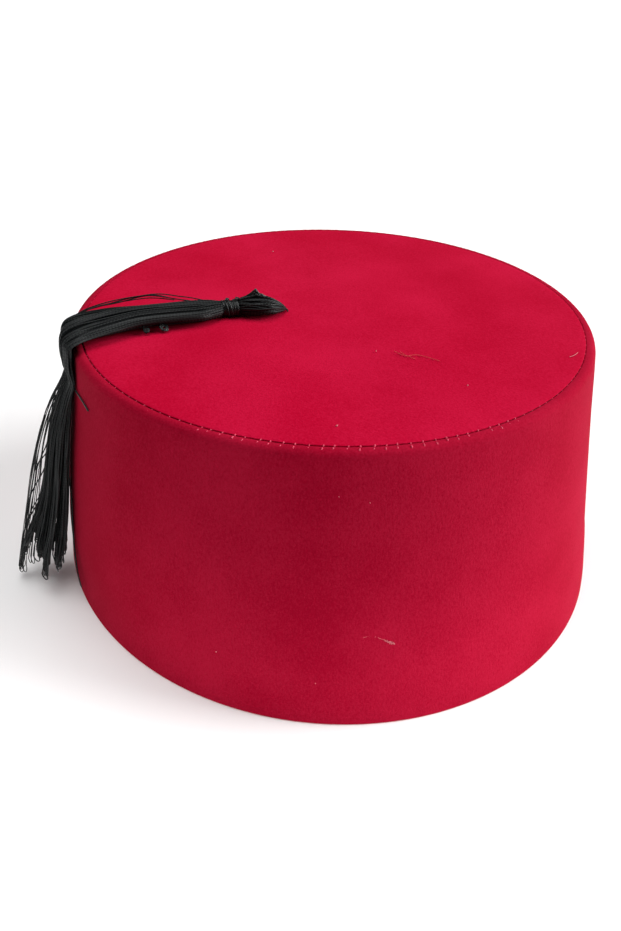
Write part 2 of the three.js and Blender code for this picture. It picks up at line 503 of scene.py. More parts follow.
def corner_arc(before, here, after, rounding):
    """The arc that rounds the corner at here, touching both of its sides."""
    if rounding == 0:
        return [here]
    to_before = (before - here) / np.linalg.norm(before - here)
    to_after = (after - here) / np.linalg.norm(after - here)
    half = math.acos(float(np.clip(to_before @ to_after, -1, 1))) / 2
    reach = rounding / math.tan(half)
    bisector = to_before + to_after
    centre = here + bisector / np.linalg.norm(bisector) * rounding / math.sin(half)
    start = here + to_before * reach - centre
    end = here + to_after * reach - centre
    swing = math.atan2(start[0] * end[1] - start[1] * end[0], float(start @ end))
    arc = []
    for step in range(ARC_STEPS + 1):
        turn = swing * step / ARC_STEPS
        cos, sin = math.cos(turn), math.sin(turn)
        arc.append(centre + np.array((start[0] * cos - start[1] * sin, start[0] * sin + start[1] * cos)))
    return arc


# %% [markdown]
# The function that moves the points adds up small effects, each with its own reach: the rim and crown are
# a little oval, the wall swells and sinks, a turned-up hem prints through near the rim, the band bellies
# out beside the tassel, each stitch draws the edge in, the seam is pressed shut away from the front, and
# the crown has slow waves. Smooth waves and steps place each effect exactly, which sculpting by hand or a
# noise texture couldn't do at every stitch.

# %% The felt's true form
SEAM_RADIUS = CROWN_RADIUS - 2.6  # the band's edge is turned in over the corner, as far as this
STITCHES = 156
STEPS_PER_STITCH = 6
AROUND = STITCHES * STEPS_PER_STITCH
PUCKER = 0.05  # how far a stitch draws the edge in
PUCKER_REACH = 2.6  # how far from the seam that fades
HEM_TOP = 21.0  # the inside turn-up prints through here
HEM_STEP = 0.28
HEM_FADE = 5.0
RIM_OVAL, RIM_LONG_WAY = 1.38, math.radians(305 + VIEW_AZIMUTH)  # soft felt is never quite round
CROWN_OVAL, CROWN_LONG_WAY = 0.52, math.radians(11 + VIEW_AZIMUTH)
SEAM_GAP = 0.05
SEAM_OPEN_TO = math.radians(285)  # the seam gapes a little on this side and is tight elsewhere
TIGHT_REACH = 1.2  # how far from the seam the felt is pressed together where it is tight
BELLY, BELLY_DIRECTION, BELLY_WIDTH = 1.0, math.radians(228), 0.6  # a swelling of the band by the tassel


def smooth_step(low, high, value):
    t = np.clip((value - low) / (high - low), 0, 1)
    return t * t * (3 - 2 * t)


def belly_at(angle, z):
    """How far the band swells outwards beside the tassel."""
    beside = np.cos(angle - BELLY_DIRECTION) - 1
    return BELLY * np.exp(2 * beside / BELLY_WIDTH**2) * smooth_step(4, 24, z) * (1 - smooth_step(40, 72, z))


def felt_form(r, angle, z):
    """Moves points of the true cone to where the soft felt has them; works on arrays."""
    x, y = r * np.cos(angle), r * np.sin(angle)
    middle = smooth_step(0, 30, z) * (1 - smooth_step(HEIGHT - 22, HEIGHT - 4, z))
    lean_out = 0.30 * np.sin(3 * angle + 4.0) + 0.20 * np.sin(5 * angle + 2.2 + z / 28)
    up = np.clip(z / HEIGHT, 0, 1)
    oval = RIM_OVAL * np.cos(2 * (angle - RIM_LONG_WAY)) * (1 - up)
    oval = oval + CROWN_OVAL * np.cos(2 * (angle - CROWN_LONG_WAY)) * up
    hem = HEM_STEP * (1 - smooth_step(HEM_TOP - HEM_FADE / 2, HEM_TOP + HEM_FADE / 2, z))
    hem = hem * smooth_step(0.5, 4.0, z) * (1 + 0.4 * np.sin(4 * angle + 1.0))
    outside = smooth_step(-BAND_WALL, 0, r - band_radius(z))
    bulge = (0.55 * middle * lean_out + hem * 0.6) * outside + belly_at(angle, z)
    from_seam = np.hypot(r - SEAM_RADIUS, z - HEIGHT)
    drawn = PUCKER * np.exp(-((from_seam / PUCKER_REACH) ** 2)) * (0.5 + 0.5 * np.cos(STITCHES * angle))
    crown_wave = 0.22 * np.sin(x / 19 + 0.6) * np.sin(y / 23 - 0.4) + 0.12 * np.sin((x + y) / 11)
    flat = smooth_step(0, 14, SEAM_RADIUS - 2 - r) * smooth_step(HEIGHT - FELT - 1, HEIGHT, z)
    tight = 1 - smooth_step(0.3, 0.6, np.cos(angle - SEAM_OPEN_TO))
    towards_seam = np.sign(SEAM_RADIUS - r + z - HEIGHT)
    pressed = tight * SEAM_GAP * 0.49 * towards_seam * np.exp(-((from_seam / TIGHT_REACH) ** 2))
    radius = r + bulge + pressed - drawn * 0.3 + oval * r / CROWN_RADIUS
    return np.stack((radius * np.cos(angle), radius * np.sin(angle), z - drawn + crown_wave * flat), -1)


print(f"{STITCHES} stitches and {AROUND} steps round the hat")


# %% Mesh helpers
def add_object(name, points, faces, material):
    """A mesh object from points in millimetres."""
    mesh = bpy.data.meshes.new(name)
    mesh.from_pydata((np.asarray(points) * MM).tolist(), [], faces)
    mesh.validate()
    mesh.materials.append(material)
    mesh.polygons.foreach_set("use_smooth", [True] * len(mesh.polygons))
    made = bpy.data.objects.new(name, mesh)
    bpy.context.collection.objects.link(made)
    return made


def turned_felt(name, profile, on_axis, material):
    """Turns a profile round Z as one closed body. on_axis says that its two ends lie on the axis."""
    angles = np.linspace(0, 2 * math.pi, AROUND, endpoint=False)
    rings = profile[1:-1] if on_axis else profile
    r = np.repeat(rings[:, 0:1], AROUND, axis=1)
    z = np.repeat(rings[:, 1:2], AROUND, axis=1)
    a = np.repeat(angles[None, :], len(rings), axis=0)
    points = felt_form(r, a, z).reshape(-1, 3)
    here = np.arange(AROUND)
    there = (here + 1) % AROUND
    faces = []
    for ring in range(len(rings) - (1 if on_axis else 0)):
        near = ring * AROUND
        far = ((ring + 1) % len(rings)) * AROUND
        quads = np.stack((near + here, near + there, far + there, far + here), -1)
        faces.extend(quads.tolist())
    if on_axis:
        ends = felt_form(np.zeros(2), np.zeros(2), profile[[0, -1], 1])
        points = np.vstack((points, ends))
        first, last = len(points) - 2, len(points) - 1
        top = (len(rings) - 1) * AROUND
        faces.extend(np.stack((here * 0 + first, there, here), -1).tolist())
        faces.extend(np.stack((here * 0 + last, top + here, top + there), -1).tolist())
    made = add_object(name, points, faces, material)
    print(name, len(points), "points,", sum(len(f) - 2 for f in faces), "triangles")
    return made


# %% [markdown]
# The band's top edge is eased over the corner and in as far as the seam, so what looks like the crown's
# rim is the band's rounded shoulder: a light lip just outside the dark line of the seam. The crown is a
# disc inside it. Both edges are cut at a slant and rounded a little by the stitching.

# %% Crown and band
CROWN_EDGE_ROUNDING = 0.26
SHOULDER_ROUNDING = 2.3
LIP_ROUNDING = 0.24
RIM_ROUNDING = 0.5
LIP_DROP = 0.12  # the lip lies this much lower than the crown

seam_slant = SEAM_RADIUS - HEIGHT  # along the slanted cut, r is z plus this
crown_profile = rounded(
    [
        (0, HEIGHT - FELT, 0, 6.0),
        (HEIGHT - FELT + seam_slant - SEAM_GAP / 2, HEIGHT - FELT, 0.3, 0.8),
        (SEAM_RADIUS - SEAM_GAP / 2, HEIGHT, CROWN_EDGE_ROUNDING, 1.6),
        (0, HEIGHT, 0, 1.6),
    ],
    closed=False,
)
crown = turned_felt("felt_crown", crown_profile, True, crown_felt)

lip_height = HEIGHT - LIP_DROP
under_lip = HEIGHT - FELT
band_profile = rounded(
    [
        (RIM_RADIUS - BAND_WALL, 0, RIM_ROUNDING, 1.0),
        (RIM_RADIUS, 0, RIM_ROUNDING, 2.2),
        (band_radius(lip_height), lip_height, SHOULDER_ROUNDING, 0.5),
        (SEAM_RADIUS + SEAM_GAP / 2, lip_height, LIP_ROUNDING, 0.8),
        (under_lip + seam_slant + SEAM_GAP / 2, under_lip, 0.3, 1.0),
        (band_radius(under_lip) - BAND_WALL, under_lip, 0.4, 7.0),
    ],
    closed=True,
)
band = turned_felt("felt_band", band_profile, False, band_felt)

# %% [markdown]
# Every thread in the model is a thin tube along a list of points: stitches, tassel, ties and lint. One
# builder gathers many tubes into one mesh and gives each the map that the thread material reads. It
# carries its cross-section along without twisting it, so the plies run evenly.


# %% Thread builder
class Threads:
    """Many thin tubes that become one mesh."""

    def __init__(self, sides):
        self.sides = sides
        self.points, self.faces, self.maps = [], [], []
        self.start = 0
        self.number = 0

    def add(self, path, radius):
        """path is in millimetres; radius is one number or one for each point."""
        path = np.asarray(path, float)
        radii = np.broadcast_to(np.asarray(radius, float), (len(path),))
        ways = np.gradient(path, axis=0)
        ways /= np.linalg.norm(ways, axis=1)[:, None]
        lengths = np.concatenate(([0], np.cumsum(np.linalg.norm(np.diff(path, axis=0), axis=1))))
        spare = np.array((0.0, 0.0, 1.0)) if abs(ways[0][2]) < 0.9 else np.array((1.0, 0.0, 0.0))
        normal = np.cross(ways[0], spare)
        turns = np.arange(self.sides) * 2 * math.pi / self.sides
        for point, way, size in zip(path, ways, radii):
            normal = normal - way * (normal @ way)
            normal /= np.linalg.norm(normal)
            across = np.cross(way, normal)
            ring = np.outer(np.cos(turns), normal) + np.outer(np.sin(turns), across)
            self.points.append(point + ring * size)
        self.join_rings(len(path), lengths)
        self.start += len(path) * self.sides
        self.number += 1

    def join_rings(self, rings, lengths):
        sides, start = self.sides, self.start
        for ring in range(rings - 1):
            near, far = start + ring * sides, start + (ring + 1) * sides
            along, further = lengths[ring], lengths[ring + 1]
            for side in range(sides):
                after = (side + 1) % sides
                self.faces.append((near + side, near + after, far + after, far + side))
                low = self.number + side / sides
                high = self.number + min(side + 1, sides - 0.001) / sides
                self.maps.extend(((along, low), (along, high), (further, high), (further, low)))
        for ring, backwards in ((0, True), (rings - 1, False)):
            corners = [start + ring * sides + side for side in range(sides)]
            self.faces.append(tuple(reversed(corners)) if backwards else tuple(corners))
            self.maps.extend([(lengths[ring], self.number + 0.5)] * sides)

    def build(self, name, material):
        points = np.vstack(self.points)
        made = add_object(name, points, self.faces, material)
        layer = made.data.uv_layers.new(name=THREAD_MAP)
        layer.data.foreach_set("uv", np.asarray(self.maps, np.float32).ravel())
        print(name, self.number, "threads,", sum(len(f) - 2 for f in self.faces), "triangles")
        return made


# %% [markdown]
# Crown and band are joined by hand with an overcast stitch: the thread comes out of the band's shoulder,
# crosses the seam at a slant and goes down into the crown. Pulled tight in soft felt it nearly
# disappears. What shows is a short bar on the shoulder, where it lies proudest, and a dimmer dot on the
# crown, and away from the front the stitches have sunk altogether.

# %% Whip stitches
STITCH_RADIUS = 0.2
STITCH_SLANT = 0.5
FLAT_LIP = 0.64  # the band's lip is level for this far, and its rounded shoulder then falls away
stitches = Threads(sides=6)
for number in range(STITCHES):
    angle = 2 * math.pi * (number + random_source.uniform(-0.12, 0.12)) / STITCHES
    slant = (STITCH_SLANT + random_source.uniform(-0.3, 0.3)) / SEAM_RADIUS
    outside = random_source.uniform(0.85, 1.45)
    inside = random_source.uniform(0.45, 0.85)
    proud = random_source.triangular(-0.12, 0.24, 0.08)
    crown_proud = random_source.triangular(-0.16, 0.12, -0.04)
    around = math.degrees(angle)
    shows = smooth_step(266, 280, around) * (1 - smooth_step(316, 352, around))
    proud -= 0.32 * (1 - float(shows))
    crown_proud -= 0.28 * (1 - float(shows))
    route = [
        # distance out from the seam, height above the felt, share of the slant
        (-inside - 0.2, -0.5, 1.0),
        (-inside, -0.12 + crown_proud, 0.95),
        (-inside * 0.6, 0.02 + crown_proud, 0.8),
        (-0.12, -0.6, 0.55),
        (0.12, -0.65, 0.45),
        (outside * 0.45, -0.2 + proud, 0.25),
        (outside * 0.75, 0.0 + proud, 0.1),
        (outside, -0.14 + proud, 0.02),
        (outside + 0.2, -0.55, 0.0),
    ]
    path = []
    for out, up, share in route:
        at = angle + slant * (share - 0.5)
        shoulder_drop = max(0.0, out - FLAT_LIP) ** 2 / (2 * SHOULDER_ROUNDING)
        height = HEIGHT - PUCKER * 0.4 + up - shoulder_drop - (LIP_DROP if out > 0 else 0)
        path.append(felt_form(SEAM_RADIUS + out, at, height))
    stitches.add(path, STITCH_RADIUS * random_source.uniform(0.75, 1.15))
seam_stitches = stitches.build("seam_stitches", stitch_thread)

# %% [markdown]
# ## The tassel
#
# The tassel has a frame of its own: `out` runs from the hat's axis along the tassel, `side` to the left
# of that, and `z` up. The sections that shape its CAD solid say where the bundle's middle is, how wide and
# thick it is and which way it travels; only at the neck they reach a little further, into the tie. Threads
# are then laid through those sections, each keeping roughly its own place in the bundle.

# %% Sections of the tassel
TASSEL_DIRECTION = math.radians(225)
Section = namedtuple("Section", "out side z lean width thick")
HEAD_TIP, TIE_START, TIE_END = 15.0, 30.4, 35.9
TIE_RADIUS, TIE_SIDE = 2.6, -4.4
ON_CROWN = HEIGHT + 0.3


def beside_band(z, side, width, inner, outer):
    """A section that hangs beside the band, between an inner and an outer distance from it."""
    return Section(band_radius(z) + (inner + outer) / 2, side, z, 90, width, outer - inner)


HEAD_SECTIONS = [
    Section(HEAD_TIP, -3.9, ON_CROWN + 0.6, 0, 0.8, 0.8),
    Section(17.0, -3.2, ON_CROWN + 1.6, 0, 4.6, 3.0),
    Section(20.4, -2.4, ON_CROWN + 2.7, 0, 7.8, 5.2),
    Section(24.0, -2.6, ON_CROWN + 3.2, 0, 9.2, 6.2),
    Section(27.6, -3.3, ON_CROWN + 3.1, 0, 7.8, 6.0),
    Section(TIE_START, TIE_SIDE, ON_CROWN + 2.6, 0, 5.4, 4.8),
]
SKIRT_SECTIONS = [
    Section(TIE_END - 0.5, -4.6, ON_CROWN + 2.5, 0, 5.0, 4.4),
    Section(39.0, -4.4, ON_CROWN + 2.6, 0, 8.6, 5.0),
    Section(43.5, -3.5, ON_CROWN + 2.9, 0, 10.6, 5.6),
    Section(52.0, -3.2, ON_CROWN + 3.1, 0, 10.4, 6.0),
    Section(62.0, -3.2, ON_CROWN + 3.1, 0, 11.4, 6.0),
    Section(70.0, -2.7, ON_CROWN + 2.8, 0, 16.4, 5.4),
    Section(77.0, -1.2, ON_CROWN + 2.5, 6, 19.2, 4.6),
    Section(80.6, 0.4, ON_CROWN + 2.3, 18, 20.4, 4.2),
    Section(83.8, 1.3, ON_CROWN + 1.0, 45, 21.0, 3.8),
    Section(84.6, 1.9, ON_CROWN - 2.0, 70, 21.4, 3.6),
    Section(84.8, 2.6, ON_CROWN - 5.4, 84, 20.5, 3.2),
    beside_band(76, 3.6, 19.0, 0.4, 2.1),
    beside_band(71.5, 3.6, 17.5, 0.4, 3.6),
    beside_band(66, 4.0, 16.5, 0.4, 5.4),
    beside_band(58, 4.5, 16.5, 0.4, 7.5),
    beside_band(48, 5.0, 17.0, 0.5, 8.7),
    beside_band(36, 5.5, 18.0, 0.6, 9.8),
    beside_band(25, 6.0, 20.0, 0.6, 12.0),
    beside_band(14, 6.0, 22.0, 0.8, 14.8),
    beside_band(4, 6.0, 24.0, 1.0, 16.2),
]


def on_curve(points, index, u):
    """A place on the smooth curve through points (a Catmull-Rom curve), u of the way on from index."""
    last = len(points) - 1
    p0, p1, p2, p3 = (np.array(points[min(max(index + k, 0), last)], float) for k in (-1, 0, 1, 2))
    curve = 2 * p1 + (p2 - p0) * u + (2 * p0 - 5 * p1 + 4 * p2 - p3) * u**2
    return (curve + (3 * p1 - p0 - 3 * p2 + p3) * u**3) / 2


def section_at(sections, t):
    """The section at t from 0 to 1, on a smooth curve through the rows."""
    place = min(max(t, 0.0), 1.0) * (len(sections) - 1)
    index = min(int(place), len(sections) - 2)
    return Section(*on_curve(sections, index, place - index))


def in_section(section, across, up):
    """A point of a section, where across and up are -1 to 1 over its width and thickness."""
    lean = math.radians(section.lean)
    lift = up * section.thick / 2
    out = section.out + math.sin(lean) * lift
    side = section.side + across * section.width / 2
    # Where the bundle hangs it also bends round the band, which curves away on both sides.
    bent = math.sqrt(max(out**2 - side**2, 0.0))
    out += (bent - out) * float(smooth_step(20, 70, section.lean))
    return np.array((out, side, section.z + math.cos(lean) * lift))


def clear_of_felt(point, gap):
    """Moves a point in the tassel's frame out of the hat, to gap above the crown or the band."""
    out, side, z = point
    radius = math.hypot(out, side)
    above = z - HEIGHT
    direction = math.atan2(side, out) + TASSEL_DIRECTION
    wall = band_radius(min(z, HEIGHT)) + float(belly_at(direction, z))
    beside = radius - wall
    if above >= gap or beside >= gap:
        return point
    if above > beside:
        return np.array((out, side, HEIGHT + gap))
    grow = (wall + gap) / radius
    return np.array((out * grow, side * grow, z))


def to_hat(points):
    """From the tassel's frame to the hat's."""
    points = np.asarray(points, float)
    cos, sin = math.cos(TASSEL_DIRECTION), math.sin(TASSEL_DIRECTION)
    x = points[:, 0] * cos - points[:, 1] * sin
    y = points[:, 0] * sin + points[:, 1] * cos
    return np.stack((x, y, points[:, 2]), -1)


print(len(HEAD_SECTIONS), "sections of the head and", len(SKIRT_SECTIONS), "of the skirt")

# %% [markdown]
# The threads aren't cut: each goes down, turns back in a small loop and comes up again beside itself, so
# the fringe ends in loops. They gather in locks, and the dark gaps between locks are what makes a black
# tassel readable. So each thread has an even place in the bundle, is drawn part of the way towards the
# nearest lock, and wanders slowly about that. Laying them by rule and not by hair simulation keeps each
# one where the section table says and gives the same tassel every time.

# %% Laying the threads of the skirt
THREAD_RADIUS = 0.22
PAIRS = 112
LOCKS = 10
GOLDEN_ANGLE = math.radians(137.508)
GRID = 4  # steps from one section row to the next
CORNER_TO_FRINGE = (0.62, 1.0)


class Wander:
    """A slow smooth wobble, different for each thread, that starts at nothing."""

    def __init__(self, size, waves):
        self.parts = []
        for wave in waves:
            amount = size * random_source.uniform(0.4, 1.0) / wave
            self.parts.append((amount, wave, random_source.uniform(0, 2 * math.pi)))

    def at(self, t):
        return sum(amount * math.sin(2 * math.pi * wave * t + phase) for amount, wave, phase in self.parts)


def disc_spot(number, total):
    """An even spread of spots over a disc of radius 1."""
    radius = math.sqrt((number + 0.5) / total)
    return radius * math.cos(number * GOLDEN_ANGLE), radius * math.sin(number * GOLDEN_ANGLE)


class Lock:
    """A gathering of threads: its place in the bundle, and how that place moves along the way."""

    def __init__(self, number):
        self.across, self.up = disc_spot(number, LOCKS)
        self.across_sway, self.up_sway = Wander(0.24, (1, 2, 3)), Wander(0.24, (1, 2, 3))
        self.splay = random_source.uniform(0.86, 1.16)
        self.length = random_source.uniform(-2.2, 2.4)

    def place(self, t, fringe):
        wide = 0.95 * (1 + (self.splay - 1) * fringe)
        return self.across * wide + self.across_sway.at(t), self.up * wide + self.up_sway.at(t)


locks = [Lock(number) for number in range(LOCKS)]


def skirt_path(lock, spot, loose, lowest):
    """One thread from the tie down to the height lowest. loose is its own pair of wobbles."""
    rows = len(SKIRT_SECTIONS) - 1
    path = []
    for step in range(rows * GRID + 1):
        t = step / (rows * GRID)
        section = section_at(SKIRT_SECTIONS, t)
        open_up = float(smooth_step(0.0, 0.15, t))
        fringe = float(smooth_step(*CORNER_TO_FRINGE, t))
        drawn = (0.36 + 0.30 * fringe) * open_up
        lock_across, lock_up = lock.place(t, fringe)
        own = (0.6 + 0.4 * fringe) * open_up
        a = spot[0] + (lock_across - spot[0]) * drawn + loose[0].at(t) * own
        b = spot[1] + (lock_up - spot[1]) * drawn + loose[1].at(t) * own
        reach = math.hypot(a, b)
        limit = 1.0 + 0.15 * fringe
        if reach > limit:
            a, b = a * limit / reach, b * limit / reach
        point = clear_of_felt(in_section(section, a, b), THREAD_RADIUS + 0.04)
        if point[2] < lowest:
            break
        path.append(point)
    return path


LOOP_STEPS = 6
LOWEST = 1.0


def loop_between(first_end, second_end, droop):
    """The turned-back end that joins two threads, as a hanging arc."""
    down = np.array((0.0, 0.0, -droop))
    arc = []
    for step in range(1, LOOP_STEPS):
        u = step / LOOP_STEPS
        point = (1 - u) ** 3 * first_end + 3 * (1 - u) ** 2 * u * (first_end + down)
        point = point + 3 * (1 - u) * u**2 * (second_end + down) + u**3 * second_end
        point[2] = max(point[2], LOWEST)
        arc.append(point)
    return arc


def own_wobble():
    return Wander(0.20, (1.5, 3, 5)), Wander(0.20, (1.5, 3, 5))


def nearest_lock(spot):
    return min(locks, key=lambda lock: (lock.across - spot[0]) ** 2 + (lock.up - spot[1]) ** 2)


def lay_pair(threads, spot):
    """Two threads joined by a loop at the bottom."""
    lock = nearest_lock(spot)
    lowest = 8.2 + lock.length + 1.6 * spot[1] + random_source.triangular(-2.2, 6.5, -0.8)
    offset = random_source.uniform(0, 2 * math.pi)
    partner = (spot[0] + 0.13 * math.cos(offset), spot[1] + 0.13 * math.sin(offset))
    down_path = skirt_path(lock, spot, own_wobble(), lowest)
    up_path = skirt_path(lock, partner, own_wobble(), lowest)[::-1]
    wide = float(np.linalg.norm(down_path[-1] - up_path[0]))
    loop = loop_between(down_path[-1], up_path[0], min(3.2, max(1.5, wide)))
    threads.add(to_hat(down_path + loop + up_path), THREAD_RADIUS)


# %% The skirt
inner_skirt = Threads(sides=6)
outer_skirt = Threads(sides=6)
for number in range(PAIRS):
    spot = disc_spot(number, PAIRS)
    lay_pair(inner_skirt if spot[1] < 0 else outer_skirt, spot)
# Inside the bundle on the crown, three thick cores keep the felt from showing between the locks.
CORE_FROM, CORE_TO = 0.06, 0.50  # shares of the skirt's way
CORE_POINTS = 24
CORE_COVER = 1.1  # how deep the cores lie under the bundle's surface
for across in (-0.5, 0.0, 0.5):
    core, core_sizes = [], []
    for t in np.linspace(CORE_FROM, CORE_TO, CORE_POINTS):
        section = section_at(SKIRT_SECTIONS, float(t))
        core.append(in_section(section, across, -0.1))
        core_sizes.append(max(0.3, section.thick / 2 - CORE_COVER))
    inner_skirt.add(to_hat(core), core_sizes)
skirt_inner = inner_skirt.build("skirt_threads_inner", black_thread)
skirt_outer = outer_skirt.build("skirt_threads_outer", black_thread)

# %% [markdown]
# A few threads leave the bundle, and they do most to make it look real: fine ones that bow away from the
# fringe and end in wide loops, some that cross over to those, four that lift off the crown behind the
# bundle, two small curls in front of it, a cut end that lies on the band, and a pair that hangs close
# against the band.


# %% Stray threads
def smooth_path(points, per_span=8):
    """A smooth curve through a few points."""
    path = []
    for index in range(len(points) - 1):
        for step in range(per_span):
            path.append(on_curve(points, index, step / per_span))
    path.append(np.array(points[-1], float))
    return path


def on_band(points):
    """From (stand-off from the band, side, z) to the tassel's frame."""
    places = []
    for off, side, z in points:
        radius = band_radius(z) + off
        places.append((math.sqrt(radius**2 - side**2), side, z))
    return places


FINE_THREAD = 0.15
strays = Threads(sides=6)

# Fine threads that bow outwards: they spring away below the corner, then hang nearly straight.
BOW_TOP = 77.0
BOW_START, BOW_SPRING, BOW_DROP, BOW_SLOPE = 1.6, 8.2, 13.0, 0.105


def bow_off(z):
    """How far the outermost fine thread stands off from the band at a height."""
    drop = BOW_TOP - z
    return BOW_START + BOW_SPRING * (1 - math.exp(-drop / BOW_DROP)) + BOW_SLOPE * drop


def dense_edge(z):
    """How far the bundle's outside stands off from the band, a little inside its sections' edge."""
    hanging = [section for section in reversed(SKIRT_SECTIONS) if section.lean == 90]
    offs = [section.out + section.thick / 2 - band_radius(section.z) - 0.6 for section in hanging]
    return float(np.interp(z, [section.z for section in hanging], offs))


BOW_SHARES = (1.0, 0.985, 0.96, 0.93, 0.83, 0.74)
BOW_SIDES = (4.5, 5.6, 3.4, 6.6, 7.4, 2.6)
BOW_TOGETHER = 2.0  # nearer to the band than this, the bowed threads keep together
BOW_STEP = 4.5
BOW_LOOP = 3.4
for share, side in zip(BOW_SHARES, BOW_SIDES):
    bottom = random_source.uniform(2.2, 6.5)
    sway = Wander(0.9, (2, 3, 4))
    down_path, up_path = [], []
    for z in np.arange(BOW_TOP, bottom, -BOW_STEP):
        off = bow_off(z)
        hang = (BOW_TOP - z) / BOW_TOP
        here = BOW_TOGETHER + (off - BOW_TOGETHER) * share if off > BOW_TOGETHER else off
        down_path.append((here + 0.35 * sway.at(hang), side + sway.at(hang), z))
        back = here - 1.1 * hang + 0.5 * sway.at(hang + 0.3)
        up_path.append((max(back, 0.6), side - 1.2 * hang + sway.at(hang + 0.4), z))
    first = smooth_path(on_band(down_path), 4)
    second = smooth_path(on_band(up_path), 4)[::-1]
    loop = loop_between(first[-1], second[0], BOW_LOOP)
    strays.add(to_hat(first + loop + second), FINE_THREAD)

# Threads that leave the dense bundle part of the way down and cross over to the bowed ones
CROSSING_TOP, CROSSING_BOTTOM, CROSSING_STEP = 76, 3.5, 4.0
CROSSINGS = []
for leaves in (57, 49, 46, 38, 35, 30, 26, 19):
    joins = leaves - random_source.uniform(7, 20)
    CROSSINGS.append((leaves, joins, random_source.uniform(2.5, 8.0), random_source.uniform(0.55, 1.0)))
for leaves, joins, side, share in CROSSINGS:
    places = []
    sway = Wander(1.3, (2, 3, 5))
    for z in np.arange(CROSSING_TOP, CROSSING_BOTTOM, -CROSSING_STEP):
        across = float(smooth_step(0, 1, (leaves - z) / (leaves - joins)))
        across *= share
        off = dense_edge(z) * (1 - across) + bow_off(z) * 0.985 * across
        hang = (CROSSING_TOP - z) / CROSSING_TOP
        places.append((off + 0.3 * sway.at(hang), side + sway.at(hang) - 1.5 * across, z))
    strays.add(to_hat(smooth_path(on_band(places), 4)), THREAD_RADIUS * 0.85)

# Threads that lift off behind the bundle, over the crown
LIFTED = [
    [
        (37.4, -7.0, 88.6), (43, -8.6, 90.2), (48.3, -9, 91.4), (54.5, -9.2, 92.7),
        (60.8, -9.2, 92.6), (69.3, -9.4, 91.7), (76.7, -9.4, 90.0), (80.8, -8.6, 88.4),
    ],
    [
        (38, -6.6, 88.4), (44, -8.2, 89.6), (50, -9.4, 90.6), (55, -10.4, 91.8),
        (60, -9.6, 92.2), (67, -9.0, 91.2), (74, -9.0, 90.4), (80, -8.6, 88.9),
    ],
    [
        (50, -7.4, 91.0), (55, -9.6, 91.2), (59, -10.4, 91.2),
        (65, -10.6, 90.8), (72, -10.2, 90.4), (78, -9.6, 89.3),
    ],
    [
        (46, -7.2, 90.4), (52, -8.6, 91.5), (57, -9.4, 92.3),
        (63, -9.4, 92.2), (70, -9.2, 91.0), (77, -8.8, 89.8),
    ],
]
for route in LIFTED:
    strays.add(to_hat(smooth_path(route, 6)), FINE_THREAD * 1.15)

# Curls in front of the bundle: out, side, size, tilt
CURLS = [(54.9, 2.3, 1.25, 0.5), (60.3, 2.8, 0.8, -0.4)]
CURL_STEPS, CURL_TURNS = 55, 3.4
CURL_LIFT = 1.5
for out, side, size, tilt in CURLS:
    curl = [np.array((out + size, side - 2.0, 87.4)), np.array((out + size, side - 1.0, 87.2))]
    for step in range(CURL_STEPS + 1):
        turn = step / CURL_STEPS * 2 * math.pi * CURL_TURNS
        reach = size * (0.72 + 0.28 * math.cos(1.7 * turn))
        sideways = reach * math.sin(turn)
        shift = np.array((reach * math.cos(turn), 0.8 * reach * math.sin(turn), -0.5 * sideways))
        shift[2] += tilt * reach * math.cos(turn) * 0.4
        curl.append(np.array((out, side, HEIGHT + CURL_LIFT)) + shift)
    strays.add(to_hat([clear_of_felt(point, THREAD_RADIUS) for point in curl]), THREAD_RADIUS * 1.2)

# A cut end that crosses the band below the corner, and a pair that hangs close against the band
CUT_END = [
    (1.2, 4.0, 78.0), (1.0, 8.0, 75.8), (0.7, 12.0, 74.4),
    (0.5, 17.0, 74.4), (0.5, 21.4, 74.4), (0.5, 24.6, 73.9),
]
strays.add(to_hat(smooth_path(on_band(CUT_END))), THREAD_RADIUS * 1.15)
CLOSE_PAIR = [
    (2.5, 6.0, 58), (1.8, 7.5, 46), (0.8, 9.8, 33), (0.5, 13.2, 19),
    (0.4, 17.5, 12), (0.4, 20.2, 9), (0.4, 23.7, 7),
]
for shift in (0.0, 0.9):
    path = on_band([(off, side - shift, z) for off, side, z in CLOSE_PAIR])
    strays.add(to_hat(smooth_path(path, 6)), THREAD_RADIUS * 0.9)
skirt_strays = strays.build("skirt_threads_stray", black_thread)

# %% [markdown]
# Above the tie the same threads turn back on themselves and are drawn to a point where they are sewn
# down. That head is laid as threads side by side over the head's sections, on a core that keeps light
# from passing between them. At the point, two short stitches go down into the crown.

# %% Head of the tassel
HEAD_THREADS = 36
HEAD_STEPS = 24
CORE_RINGS = 14
head_threads = Threads(sides=6)
core, core_sizes = [], []
for step in range(CORE_RINGS + 1):
    section = section_at(HEAD_SECTIONS, step / CORE_RINGS)
    core.append(in_section(section, 0, 0))
    core_sizes.append(max(0.2, min(section.width, section.thick) / 2 - 0.5))
head_threads.add(to_hat(core), core_sizes)
for number in range(HEAD_THREADS):
    start_turn = 2 * math.pi * (number + random_source.uniform(-0.4, 0.4)) / HEAD_THREADS
    drift = random_source.uniform(-0.55, 0.55)
    depth = random_source.uniform(0.80, 0.98)
    sway = Wander(0.10, (1, 2))
    path = []
    for step in range(HEAD_STEPS + 1):
        t = step / HEAD_STEPS
        turn = start_turn + drift * (1 - t) + sway.at(t)
        section = section_at(HEAD_SECTIONS, t)
        point = in_section(section, depth * math.cos(turn), depth * math.sin(turn))
        path.append(clear_of_felt(point, THREAD_RADIUS))
    head_threads.add(to_hat(path), THREAD_RADIUS)
